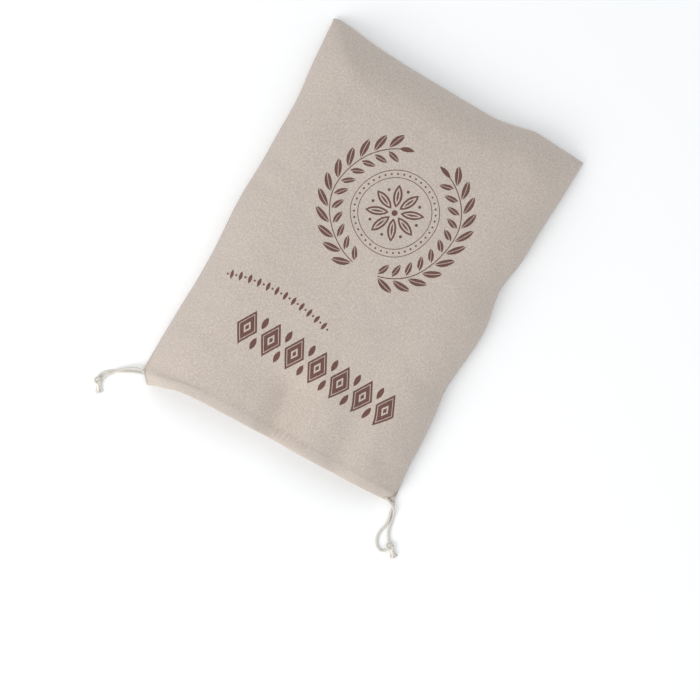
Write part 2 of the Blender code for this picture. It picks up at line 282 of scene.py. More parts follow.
def waver(x, y, size, seed):
    """Soft unevenness of the given size, from -1 to 1."""
    flat = [noise.noise(Vector((px / size, py / size, seed))) for px, py in zip(x.ravel(), y.ravel())]
    return np.array(flat).reshape(x.shape) * WAVER_GAIN


def in_hem(from_mouth):
    """1 inside the hem, falling to 0 past its stitching."""
    return 1 - smooth((from_mouth - HEM_DEPTH + HEM_EASE_START) / HEM_EASE)


def beside(distance, ease):
    """1 beside a seam, falling to 0 over the ease's reach."""
    return 1 - smooth((distance - ease.start) / ease.reach)


def upper_cloth(across, along):
    """The middle of the upper panel's cloth, before its hem is folded."""
    x, y = plan(across, along, 1.0)
    from_mouth = y - read(MOUTH, "x", "y", x)
    toe = TOE * smooth(1 - (y - MOUTH[-1].y) / TOE_REACH)
    from_left = x - read(SIDES, "y", "left", y)
    from_right = right_side(y, 1.0) - x
    from_end = read(CLOSED_END, "x", "y", x) - y
    rise = (round_up(from_left - toe, LEFT_FALL) * round_up(from_right - toe, RIGHT_FALL)
            * round_up(from_end, END_FALL))
    crown = CROWN * read(CROWN_ALONG, "y", "share", y) - RIGHT_DROP * smooth(x / HALF_WIDTH)
    from_side = np.minimum(from_left, from_right)
    from_edge = np.minimum(from_side, from_end)
    seam = read(SEAM, "y", "height", y) + GAP / 2 + CLOTH / 2
    near_side = np.maximum(beside(from_left, LEFT_EASE), beside(from_right, RIGHT_EASE))
    over_lower_hem = HEM_CLEARANCE * in_hem(from_mouth) * near_side
    uneven = sum(wave.height * waver(x, y, wave.size, wave.seed) for wave in UNEVEN)
    off_edge = smooth(from_edge / UNEVEN_REACH)
    z = (seam + over_lower_hem + EDGE_PUFF * smooth(from_edge / PUFF_REACH)
         + rise * (crown + fold_lift(x, y)) + off_edge * uneven)
    return np.stack((x, y, z), axis=-1)


# The hem's section, from the inner layer's raw edge, round the fold at the mouth, to the outer layer:
# how far each line of the cloth lies from the mouth's edge, and how far out of the panel's own surface.
HEM_SECTION = [
    HemRow(10.4, -0.95), HemRow(9.6, -1.15), HemRow(8.4, -1.7), HemRow(6.8, -2.15), HemRow(5.0, -2.2),
    HemRow(3.2, -2.1), HemRow(1.8, -1.75), HemRow(0.8, -1.2), HemRow(0.2, -0.6), HemRow(0.0, 0.0),
    HemRow(0.25, 0.5), HemRow(0.9, 0.9), HemRow(2.0, 1.12), HemRow(3.6, 1.2), HemRow(5.2, 1.15),
    HemRow(6.8, 1.0), HemRow(8.4, 0.8), HemRow(9.6, 0.58), HemRow(10.5, 0.4), HemRow(11.4, 0.45),
    HemRow(12.6, 0.3),
]
FOLD_ROW, STITCH_ROW = 9, 18
PANEL_ROWS, UPPER_MIDDLE_ROW = 190, 100
ROW_CROWDING = 0.35
MIDDLE_LENGTH = CLOSED_END[4].y - MOUTH[-3].y
PUCKER_LEFT, PUCKER_RIGHT = -6.0, 56.0
PUCKER_LEFT_EASE, PUCKER_RIGHT_EASE = 10.0, 26.0
PUCKER_PITCH, PUCKER_HEIGHT = 5.2, 1.05
PUCKER_DRIFT = Uneven(2.0, 14.0, 5.0)
LOOSE_GATHER = Uneven(0.45, 7.5, 17.0)
GATHER_LINE, GATHER_WIDTH = 9.5, 5.5
OUTER_GATHER, INNER_GATHER = 1.0, -0.4
FINE_STEP, WIDE_STEP, EDGE_STEP = 1.25, 1.95, 0.9
FINE_MARGIN, EDGE_MARGIN = 4.0, 8.0
SEAM_START, UPPER_SEAM_EASE = 1.5, 6.0
OPEN_HEM_TURN = -0.2
SLOPE_STEP, SIDE_KEEP, END_KEEP = 0.002, 0.004, 0.003


def column_shares():
    """Where the cloth's lines run across the bag: closer together where the hem puckers."""
    places = [-HALF_WIDTH]
    while places[-1] < HALF_WIDTH:
        fine = PUCKER_LEFT - FINE_MARGIN < places[-1] < PUCKER_RIGHT + FINE_MARGIN
        near_edge = HALF_WIDTH - abs(places[-1]) < EDGE_MARGIN
        places.append(places[-1] + (EDGE_STEP if near_edge else FINE_STEP if fine else WIDE_STEP))
    return (np.array(places) - places[0]) / (places[-1] - places[0])


def sheet_rows(section, count):
    """Each row's share along the bag and its step out of the surface, the hem's own rows first."""
    start = section[-1].inward / MIDDLE_LENGTH
    even = np.arange(1, count + 1) / count
    crowded = np.sin(np.pi / 2 * even)
    rest = start + (1 - start) * mix(even, crowded, ROW_CROWDING)
    along = np.concatenate(([row.inward / MIDDLE_LENGTH for row in section], rest))
    out = np.concatenate(([row.out for row in section], np.zeros(count)))
    return along, out


def turned_edges(across, along):
    """Adds the turned-in lines at both sides and at the closed end; returns how far in each is turned."""
    turn_across = np.concatenate((TURN_IN, np.zeros(len(across)), TURN_IN[::-1]))
    across = np.concatenate(([0.0] * len(TURN_IN), across, [1.0] * len(TURN_IN)))
    turn_along = np.concatenate((np.zeros(len(along)), TURN_IN[::-1]))
    along = np.concatenate((along, [1.0] * len(TURN_IN)))
    return across, turn_across, along, turn_along


def turn_edges_in(x, y, z, across, turn_across, turn_along, hold, seam_z):
    """Moves the turned-in lines inwards and to the seam's height, except at the hem's open ends."""
    turned_in = (turn_across[:, None] + turn_along[None, :]) > 0
    inset = turn_across[:, None] * np.where(across < 0.5, 1, -1)[:, None]
    x = np.where(turned_in, x + inset * mix(OPEN_HEM_TURN, 1.0, hold), x)
    y = np.where(turned_in, y - turn_along[None, :], y)
    z = np.where(turned_in, mix(z, seam_z, hold), z)
    return np.stack((x, y, z), axis=-1)


def cloth_length(points, axis, middle):
    """Distance along the cloth from its middle line, for a woven pattern that doesn't stretch."""
    steps = np.linalg.norm(np.diff(points, axis=axis), axis=2)
    run = np.insert(np.cumsum(steps, axis=axis), 0, 0.0, axis=axis)
    return run - np.take(run, [middle], axis=axis)


def sew_sheet(name, points, cloth_u, cloth_v, hem_rows, finishes, outward=True):
    """Makes a sheet of cloth from a grid, moves it to the given points and gives it its thickness."""
    columns, rows = points.shape[:2]
    sheet = bmesh.new()
    bmesh.ops.create_grid(sheet, x_segments=columns - 1, y_segments=rows - 1, size=0.5)
    uv = sheet.loops.layers.uv.new("cloth")
    # Marks the folded hem's rows, which the finish paints lighter as a painted highlight.
    folded = sheet.verts.layers.float.new("folded")
    place = {}
    for vert in sheet.verts:
        i = round((vert.co.x + 0.5) * (columns - 1))
        j = round((vert.co.y + 0.5) * (rows - 1))
        place[vert.index] = (i, j)
    for vert in sheet.verts:
        i, j = place[vert.index]
        vert.co = (Vector(points[i, j]) + TO_CENTRE) * MM
        vert[folded] = float(j < hem_rows)
    for face in sheet.faces:
        for loop in face.loops:
            i, j = place[loop.vert.index]
            loop[uv].uv = (cloth_u[i, j] * MM, cloth_v[i, j] * MM)
    if not outward:
        bmesh.ops.reverse_faces(sheet, faces=sheet.faces)
    mesh = bpy.data.meshes.new(name)
    sheet.to_mesh(mesh)
    sheet.free()
    mesh.shade_smooth()
    piece = bpy.data.objects.new(name, mesh)
    scene.collection.objects.link(piece)
    for finish in finishes:
        mesh.materials.append(finish)
    body = piece.modifiers.new("thickness", "SOLIDIFY")
    body.thickness = CLOTH * MM
    body.offset = 0.0
    body.material_offset = len(finishes) - 1
    body.material_offset_rim = len(finishes) - 1
    return piece


class Drawn:
    """A number that a finish works out at each place on the cloth, by its own nodes."""

    def __init__(self, tree, socket):
        self.tree = tree
        self.socket = socket

    def work(self, operation, *others):
        """One step of arithmetic with other such numbers or plain ones."""
        node = self.tree.nodes.new("ShaderNodeMath")
        node.operation = operation
        for slot, value in zip(node.inputs, (self, *others)):
            if isinstance(value, Drawn):
                self.tree.links.new(value.socket, slot)
            else:
                slot.default_value = value
        return Drawn(self.tree, node.outputs[0])

    def __add__(self, other):
        return self.work("ADD", other)

    def __sub__(self, other):
        return self.work("SUBTRACT", other)

    def __mul__(self, other):
        return self.work("MULTIPLY", other)

    def __truediv__(self, other):
        return self.work("DIVIDE", other)

    def __pow__(self, other):
        return self.work("POWER", other)

    def __abs__(self):
        return self.work("ABSOLUTE")

    def least(self, other):
        return self.work("MINIMUM", other)

    def most(self, other):
        return self.work("MAXIMUM", other)

    def between(self, low, high):
        """1 where the number lies between low and high."""
        return self.work("GREATER_THAN", low) * self.work("LESS_THAN", high)

    def wrapped(self, pitch):
        """The number counted again from -pitch / 2 to pitch / 2 in every repeat."""
        return self.work("WRAP", pitch / 2, -pitch / 2)


def cloth_place(tree):
    """The two distances along the threads, in metres, read from the cloth's own map."""
    uv = tree.nodes.new("ShaderNodeUVMap")
    uv.uv_map = "cloth"
    split = tree.nodes.new("ShaderNodeSeparateXYZ")
    tree.links.new(uv.outputs["UV"], split.inputs[0])
    return Drawn(tree, split.outputs["X"]), Drawn(tree, split.outputs["Y"])


def cloudy(tree, u, v, scale_u, scale_v, detail=2.0, seed=0.0):
    """Soft noise with its own scale along each thread direction, from 0 to 1."""
    join = tree.nodes.new("ShaderNodeCombineXYZ")
    tree.links.new((u * scale_u).socket, join.inputs[0])
    tree.links.new((v * scale_v).socket, join.inputs[1])
    join.inputs[2].default_value = seed
    cloud = tree.nodes.new("ShaderNodeTexNoise")
    cloud.inputs["Scale"].default_value = 1.0
    cloud.inputs["Detail"].default_value = detail
    tree.links.new(join.outputs[0], cloud.inputs["Vector"])
    return Drawn(tree, cloud.outputs["Fac"])


def blend_color(tree, share, first, second):
    """Mixes two colours, each a plain one or a socket."""
    node = tree.nodes.new("ShaderNodeMix")
    node.data_type = "RGBA"
    tree.links.new(share.socket, node.inputs[0])
    for slot, value in ((node.inputs[6], first), (node.inputs[7], second)):
        if isinstance(value, tuple):
            slot.default_value = (*value, 1.0)
        else:
            tree.links.new(value, slot)
    return node.outputs[2]


THREAD_PITCH = 0.00085
THREAD_DRIFT, DRIFT_SCALE = 0.0006, 120
SLUB_ALONG, SLUB_ACROSS, SLUB_CONTRAST = 110, 900, 2.6
THICK_SLUB, THICK_CONTRAST, THICK_MOST = 0.66, 9.0, 0.55
BROAD_SCALE, BROAD_CONTRAST, BROAD_SHADE = 16, 0.5, 0.12
FLECK_ALONG, FLECK_ACROSS, FLECK_CONTRAST, FLECK_MOST = 380, 640, 3.4, 0.5
# How strongly the folded hem gets its painted highlight.
HEM_HIGHLIGHT_BLEND = 0.3
INK_RAG, RAG_SCALE = 0.0007, 420
INK_THREADS, INK_GRAIN, INK_FLOOR, GRAIN_SCALE = 0.3, 0.7, 0.46, 900
LINEN_LIGHT = (0.606, 0.523, 0.458)
LINEN_DARK = (0.470, 0.402, 0.350)
SLUB_DARK = (0.38, 0.32, 0.28)
FLECK_LIGHT = (0.70, 0.62, 0.56)
FLECK_DARK = (0.400, 0.345, 0.315)
# The painted highlight colour for the folded hem, a lighter linen tone standing in for the light the double
# hem catches.
HEM_PAINTED_HIGHLIGHT = (0.665, 0.585, 0.520)
PRINT_BROWN = (0.122, 0.048, 0.036)


def leaf(s, w, half_length, half_width):
    """How far outside a pointed leaf a place lies; below zero inside."""
    bow = (half_length ** 2 + half_width ** 2) / (2 * half_width)
    return (s * s + (abs(w) + (bow - half_width)) ** 2.0) ** 0.5 - bow


def turned(s, w, angle):
    """The two distances in a frame turned by the angle."""
    c, n = math.cos(angle), math.sin(angle)
    return s * c + w * n, w * c - s * n


def inked(distance, edge=0.00035):
    """1 inside a shape and 0 outside, with the slightly soft edge of a screen print."""
    return (distance * (-1 / edge) + 0.5).most(0.0).least(1.0)


def bare(mark):
    """1 where the mark leaves the cloth bare and 0 on it."""
    return mark * -1.0 + 1.0


def spot(s, w, size):
    """A round spot of the given radius."""
    return inked((s * s + w * w) ** 0.5 - size)


def on_ring(radius, angle, pitch, ring_radius):
    """The two distances from the nearest of the places that stand a pitch apart on a ring."""
    turn = angle.wrapped(pitch)
    return radius * turn.work("COSINE") - ring_radius, radius * turn.work("SINE")


def leafy_stems(x, y, radius):
    """Two curved stems of paired leaves, each leaf with a bare vein, and one leaf at each stem's tip."""
    stem_radius, stem_half = 0.0690, 0.00055
    leaf_count, leaf_tilt, vein_half = 11, 0.72, 0.00028
    climb = abs(x).work("ARCTAN2", y * -1.0)
    pitch = 0.80 * math.pi / leaf_count
    first = 0.07 * math.pi
    last = first + pitch * leaf_count
    along = (climb - (first + pitch / 2)).wrapped(pitch) * stem_radius
    aside = radius - stem_radius
    outer_s, outer_w = turned(along - 0.001, aside - 0.0085, leaf_tilt)
    inner_s, inner_w = turned(along + 0.003, aside + 0.0080, -leaf_tilt)
    outer = inked(leaf(outer_s, outer_w, 0.0105, 0.0036)) * bare(inked(abs(outer_w) - vein_half))
    inner = inked(leaf(inner_s, inner_w, 0.0095, 0.0032)) * bare(inked(abs(inner_w) - vein_half))
    stem = inked(abs(aside) - stem_half)
    tip_leaf = leaf(climb * -stem_radius + last * stem_radius + 0.004, aside, 0.0085, 0.0026)
    return (outer.most(inner).most(stem) * climb.between(first, last)).most(inked(tip_leaf))


def wreath_print(u, v):
    """Two curved leafy stems that meet below, round an eight-petalled rosette and a ring of dots."""
    centre_u, centre_v = 0.0035, 0.0660
    petal_pitch, bead_pitch = math.pi / 4, math.pi / 20
    petal_ring, dot_ring, bead_ring = 0.0185, 0.0265, 0.0425
    dot_size, bead_size, heart_size = 0.0016, 0.0011, 0.0032
    line_rings, line_half = (0.0385, 0.0465), 0.0004
    x, y = u - centre_u, v - centre_v
    radius = (x * x + y * y) ** 0.5
    angle = y.work("ARCTAN2", x)
    s, w = on_ring(radius, angle + petal_pitch / 2, petal_pitch, petal_ring)
    petals = inked(leaf(s, w, 0.0125, 0.0048)) * bare(inked(leaf(s, w, 0.0095, 0.0026)))
    petals = petals.most(inked(leaf(s, w, 0.0068, 0.0011)))
    dots = spot(*on_ring(radius, angle, petal_pitch, dot_ring), dot_size)
    beads = spot(*on_ring(radius, angle, bead_pitch, bead_ring), bead_size)
    inner_line, outer_line = (inked(abs(radius - ring) - line_half) for ring in line_rings)
    heart = inked(radius - heart_size)
    wreath = leafy_stems(x, y, radius)
    return wreath.most(petals).most(dots).most(beads).most(inner_line.most(outer_line)).most(heart)


def lozenge_band_print(u, v):
    """A slightly bowed band of bold lozenges with small leaves between them."""
    centre_u, centre_v, slant, bow = 0.0103, -0.1180, -0.058, 0.55
    pitch, count = 0.0287, 7
    half_wide, half_high, scale = 0.0118, 0.0205, 0.0100
    line_place, line_half, window_edge, window_heart = 0.76, 0.032, 0.34, 0.18
    leaf_lift, leaf_size = 0.0125, (0.0072, 0.0029)
    x, y = turned(u - centre_u, v - centre_v, slant)
    y = y + x * x * bow
    cell = x.wrapped(pitch)
    steep = abs(cell) / half_wide + abs(y) / half_high
    body = inked((steep - 1.0) * scale)
    line = inked((abs(steep - line_place) - line_half) * scale)
    window = inked((steep - window_edge) * scale) * bare(inked((steep - window_heart) * scale))
    lozenges = body * bare(line) * bare(window)
    between = (x + pitch / 2).wrapped(pitch)
    above = inked(leaf(y - leaf_lift, between, *leaf_size))
    below = inked(leaf(y + leaf_lift, between, *leaf_size))
    small = above.most(below) * abs(x).work("LESS_THAN", pitch * (count - 1) / 2)
    return (lozenges * abs(x).work("LESS_THAN", pitch * count / 2)).most(small)


def bead_arc_print(u, v):
    """A shallow arc of beads and short leaves."""
    bow, crest_u, crest_v = 0.215, -0.0600, -0.0680
    pitch, count, bead_size, dash_size = 0.0104, 13, 0.0012, (0.0052, 0.0019)
    x, y = u - crest_u, v - (crest_v - bow)
    radius = (x * x + y * y) ** 0.5
    run = x.work("ARCTAN2", y) * bow
    aside = radius - bow
    cell = run.wrapped(pitch)
    half = (run + pitch / 2).wrapped(pitch)
    beads = spot(cell, aside, bead_size)
    dashes = inked(leaf(aside, half, *dash_size)) * abs(run).work("LESS_THAN", pitch * (count - 1) / 2)
    return beads.most(dashes) * abs(run).work("LESS_THAN", pitch * (count - 0.5) / 2)


def linen(name, printed):
    """Natural linen: a plain weave of slubby threads, with the brown print on the upper panel's face."""
    finish = bpy.data.materials.new(name)
    finish.use_nodes = True
    tree = finish.node_tree
    shader = tree.nodes["Principled BSDF"]
    shader.inputs["Roughness"].default_value = 0.92
    shader.inputs["Sheen Weight"].default_value = 0.12
    shader.inputs["Sheen Roughness"].default_value = 0.6
    shader.inputs["Specular IOR Level"].default_value = 0.2
    u, v = cloth_place(tree)
    drift = cloudy(tree, u, v, DRIFT_SCALE, DRIFT_SCALE, seed=1.0) - 0.5
    weave_u, weave_v = u + drift * THREAD_DRIFT, v - drift * THREAD_DRIFT
    warp = (weave_u * (math.pi / THREAD_PITCH)).work("SINE")
    weft = (weave_v * (math.pi / THREAD_PITCH)).work("SINE")
    over = warp * weft
    threads = (abs(warp) * (over * 0.5 + 0.5)).most(abs(weft) * (over * -0.5 + 0.5))
    slub_warp = cloudy(tree, u, v, SLUB_ACROSS, SLUB_ALONG, detail=3.0, seed=4.0)
    slub_weft = cloudy(tree, u, v, SLUB_ALONG, SLUB_ACROSS, detail=3.0, seed=9.0)
    slubs = slub_warp * 0.5 + slub_weft * 0.5
    tone = ((slubs - 0.5) * SLUB_CONTRAST + 0.5).most(0.0).least(1.0)
    color = blend_color(tree, tone, LINEN_DARK, LINEN_LIGHT)
    broad = cloudy(tree, u, v, BROAD_SCALE, BROAD_SCALE, seed=13.0)
    shaded = ((broad - 0.5) * BROAD_CONTRAST + BROAD_SHADE).most(0.0).least(1.0)
    color = blend_color(tree, shaded, color, LINEN_DARK)
    thick_slubs = ((slub_weft - THICK_SLUB) * THICK_CONTRAST).most(0.0).least(THICK_MOST)
    color = blend_color(tree, thick_slubs, color, SLUB_DARK)
    fleck_warp = cloudy(tree, u, v, FLECK_ACROSS, FLECK_ALONG, detail=4.0, seed=17.0)
    fleck_weft = cloudy(tree, u, v, FLECK_ALONG, FLECK_ACROSS, detail=4.0, seed=19.0)
    fleck = fleck_warp * 0.5 + fleck_weft * 0.5
    for contrast, fleck_color in ((FLECK_CONTRAST, FLECK_LIGHT), (-FLECK_CONTRAST, FLECK_DARK)):
        color = blend_color(tree, ((fleck - 0.5) * contrast).most(0.0).least(FLECK_MOST), color, fleck_color)
    # Painted highlight: the folded hem's rows are painted a lighter linen tone, standing in for the light
    # that the double layer of the hem catches.
    hem = tree.nodes.new("ShaderNodeAttribute")
    hem.attribute_name = "folded"
    color = blend_color(tree, Drawn(tree, hem.outputs["Fac"]) * HEM_HIGHLIGHT_BLEND, color, HEM_PAINTED_HIGHLIGHT)
    if printed:
        ragged = cloudy(tree, u, v, RAG_SCALE, RAG_SCALE, seed=21.0) - 0.5
        pu, pv = u + ragged * INK_RAG, v - ragged * INK_RAG
        ink = wreath_print(pu, pv).most(lozenge_band_print(pu, pv)).most(bead_arc_print(pu, pv))
        grain = cloudy(tree, u, v, GRAIN_SCALE, GRAIN_SCALE, seed=30.0)
        cover = (threads * INK_THREADS + grain * INK_GRAIN + INK_FLOOR).least(1.0)
        color = blend_color(tree, ink * cover, color, PRINT_BROWN)
    tree.links.new(color, shader.inputs["Base Color"])
    height = threads * 0.55 + slubs * 0.9
    bump = tree.nodes.new("ShaderNodeBump")
    bump.inputs["Strength"].default_value = 0.5
    bump.inputs["Distance"].default_value = 0.0003
    tree.links.new(height.socket, bump.inputs["Height"])
    tree.links.new(bump.outputs["Normal"], shader.inputs["Normal"])
    return finish


plain_linen = linen("linen_plain", False)
printed_linen = linen("linen_printed", True)


def surface_normals(form, across, along):
    """Outward directions of a form, from its slopes across and along."""
    run_across = form(across + SLOPE_STEP, along) - form(across - SLOPE_STEP, along)
    run_along = form(across, along + SLOPE_STEP) - form(across, along - SLOPE_STEP)
    outward = np.cross(run_across, run_along)
    return outward / np.linalg.norm(outward, axis=2, keepdims=True)


def upper_points():
    """Every place of the upper panel's cloth, with its folded hem and turned-in edges."""
    along, out = sheet_rows(HEM_SECTION, PANEL_ROWS)
    across, turn_across, along, turn_along = turned_edges(column_shares(), along)
    out = np.concatenate((out, np.zeros(len(TURN_IN))))
    a, b = np.meshgrid(across, along, indexing="ij")
    base = upper_cloth(a, b)
    normals = surface_normals(upper_cloth, np.clip(a, SIDE_KEEP, 1 - SIDE_KEEP),
                              np.clip(b, END_KEEP, 1 - END_KEEP))
    from_mouth = b * MIDDLE_LENGTH
    x, y = base[..., 0], base[..., 1]
    puckered = smooth((x - PUCKER_LEFT) / PUCKER_LEFT_EASE) * smooth((PUCKER_RIGHT - x) / PUCKER_RIGHT_EASE)
    drift = PUCKER_DRIFT.height * waver(x, y, PUCKER_DRIFT.size, PUCKER_DRIFT.seed)
    pucker = puckered * np.sin(2 * np.pi * (x + drift) / PUCKER_PITCH)
    loose = waver(x, np.zeros_like(y), LOOSE_GATHER.size, LOOSE_GATHER.seed)
    near_stitches = np.exp(-((from_mouth - GATHER_LINE) / GATHER_WIDTH) ** 2)
    gather = near_stitches * (PUCKER_HEIGHT * pucker + LOOSE_GATHER.height * loose)
    reach = np.where(np.arange(len(along)) >= FOLD_ROW, OUTER_GATHER, INNER_GATHER)
    points = base + normals * (out + gather * reach)[..., None]
    hold = smooth((from_mouth - HEM_DEPTH - SEAM_START) / UPPER_SEAM_EASE)
    seam_z = read(SEAM, "y", "height", y) + CLOTH / 2 - SEAM_PRESS
    return turn_edges_in(points[..., 0], points[..., 1], points[..., 2],
                         across, turn_across, turn_along, hold, seam_z)


upper = upper_points()
middle_column = int(np.argmin(np.abs(upper[:, UPPER_MIDDLE_ROW, 0])))
middle_row = int(np.argmin(np.abs(upper[middle_column, :, 1])))
front = sew_sheet(
    "front_cloth", upper,
    cloth_length(upper, 0, middle_column) + TO_CENTRE.x,
    cloth_length(upper, 1, middle_row) + TO_CENTRE.y,
    STITCH_ROW, [printed_linen, plain_linen])
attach(front, "root")
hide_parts("front_panel")

# The lower panel of the bag.
# The same linen, lying flat on the table and curling up to the seam at its edges, with the other half of
# the drawstring's channel folded into its mouth hem.
LOWER_ROWS = 110
CURL = 26.0
LOWER_STEP = 3.2
LOWER_EDGE_SHARES = [0.0, 0.003, 0.007, 0.012]
LOWER_SEAM_EASE = 8.0
TABLE_GAP = 0.05
SAG, SAG_REACH = 1.2, 2.6
LOWER_MIDDLE_ROW = 60
LOWER_SECTION = [
    HemRow(10.4, 1.15), HemRow(9.6, 1.5), HemRow(8.4, 2.5), HemRow(6.8, 3.4), HemRow(5.0, 3.6),
    HemRow(3.2, 3.45), HemRow(1.8, 3.0), HemRow(0.8, 2.3), HemRow(0.2, 1.6), HemRow(0.0, 1.1),
    HemRow(0.3, 0.5), HemRow(1.0, 0.15), HemRow(2.2, 0.02), HemRow(4.0, 0.0), HemRow(6.0, 0.0),
    HemRow(8.4, 0.0), HemRow(10.5, 0.25), HemRow(12.6, 0.0),
]


def lower_points():
    """Every place of the lower panel's cloth."""
    along, out = sheet_rows(LOWER_SECTION, LOWER_ROWS)
    count = round(2 * HALF_WIDTH / LOWER_STEP)
    across = np.concatenate((LOWER_EDGE_SHARES, np.linspace(0.02, 0.98, count),
                             1 - np.array(LOWER_EDGE_SHARES[::-1])))
    across, turn_across, along, turn_along = turned_edges(across, along)
    out = np.concatenate((out, np.zeros(len(TURN_IN))))
    a, b = np.meshgrid(across, along, indexing="ij")
    x, y = plan(a, b)
    from_mouth = b * MIDDLE_LENGTH
    from_edge = np.minimum(np.minimum(x - read(SIDES, "y", "left", y), read(SIDES, "y", "right", y) - x),
                           read(CLOSED_END, "x", "y", x) - y)
    hold = smooth((from_mouth - HEM_DEPTH - SEAM_START) / LOWER_SEAM_EASE)
    seam_z = read(SEAM, "y", "height", y) - CLOTH / 2 + SEAM_PRESS
    floor_z = CLOTH / 2 + TABLE_GAP
    near_edge = np.clip(1 - from_edge / CURL, 0, 1)
    sag = SAG * smooth(from_edge / SAG_REACH) * near_edge
    z = floor_z + hold * np.maximum(0.0, (seam_z - floor_z) * near_edge ** 2 - sag) + out
    return turn_edges_in(x, y, z, across, turn_across, turn_along, hold, seam_z)


lower = lower_points()
lower_middle = int(np.argmin(np.abs(lower[:, LOWER_MIDDLE_ROW, 0])))
lower_row = int(np.argmin(np.abs(lower[lower_middle, :, 1])))
back = sew_sheet(
    "back_cloth", lower,
    cloth_length(lower, 0, lower_middle) + TO_CENTRE.x,
    cloth_length(lower, 1, lower_row) + TO_CENTRE.y,
    len(LOWER_SECTION) - 1, [plain_linen], outward=False)
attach(back, "root")
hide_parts("back_panel")

# The hems' stitching.
# One row of machine stitches in thread of the linen's own colour holds down each hem's inner layer. The
# stitches lie end to end across the whole mouth and pull the cloth in a little.
STITCH_PITCH, STITCH_LENGTH, STITCH_THICK = 3.3, 2.7, 0.5
STITCH_LIFT = 0.42
STITCH_START = 1.5
STITCH_SIDES, STITCH_RINGS = 8, 6
LOWER_STITCH_ROW = 1
THREAD_COLOR = (0.60, 0.525, 0.46, 1.0)


def sew_row(mesh_builder, points, row, upward):
    """Stitches end to end along one row of a panel's places, each a long small bead of thread."""
    line = points[len(TURN_IN):-len(TURN_IN), row]
    across = np.gradient(line, axis=0)
    along = (points[:, row + 1] - points[:, row - 1])[len(TURN_IN):-len(TURN_IN)]
    normal = np.cross(across, along) * upward
    line = line + normal / np.linalg.norm(normal, axis=1, keepdims=True) * STITCH_LIFT
    run = np.concatenate(([0.0], np.cumsum(np.linalg.norm(np.diff(line, axis=0), axis=1))))
    for start in np.arange(STITCH_START, run[-1] - STITCH_PITCH, STITCH_PITCH):
        a, b = (Vector([np.interp(at, run, line[:, k]) for k in range(3)])
                for at in (start, start + STITCH_LENGTH))
        stretch = Matrix.Diagonal((STITCH_THICK / 2, STITCH_THICK / 2, (b - a).length / 2, 1.0))
        turn = (b - a).to_track_quat("Z", "Y").to_matrix().to_4x4()
        bmesh.ops.create_uvsphere(
            mesh_builder, u_segments=STITCH_SIDES, v_segments=STITCH_RINGS, radius=1.0,
            matrix=Matrix.Translation((a + b) / 2) @ turn @ stretch)


thread = bpy.data.materials.new("linen_thread")
thread.use_nodes = True
thread_shader = thread.node_tree.nodes["Principled BSDF"]
thread_shader.inputs["Base Color"].default_value = THREAD_COLOR
thread_shader.inputs["Roughness"].default_value = 0.8
stitch_mesh = bmesh.new()
sew_row(stitch_mesh, upper, STITCH_ROW, 1)
sew_row(stitch_mesh, lower, LOWER_STITCH_ROW, -1)
bmesh.ops.translate(stitch_mesh, vec=TO_CENTRE, verts=stitch_mesh.verts)
bmesh.ops.scale(stitch_mesh, vec=(MM, MM, MM), verts=stitch_mesh.verts)
stitch_data = bpy.data.meshes.new("hem_stitches")
stitch_mesh.to_mesh(stitch_data)
stitch_mesh.free()
stitch_data.shade_smooth()
stitch_data.materials.append(thread)
stitches = bpy.data.objects.new("hem_stitches", stitch_data)
scene.collection.objects.link(stitches)
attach(stitches, "root")

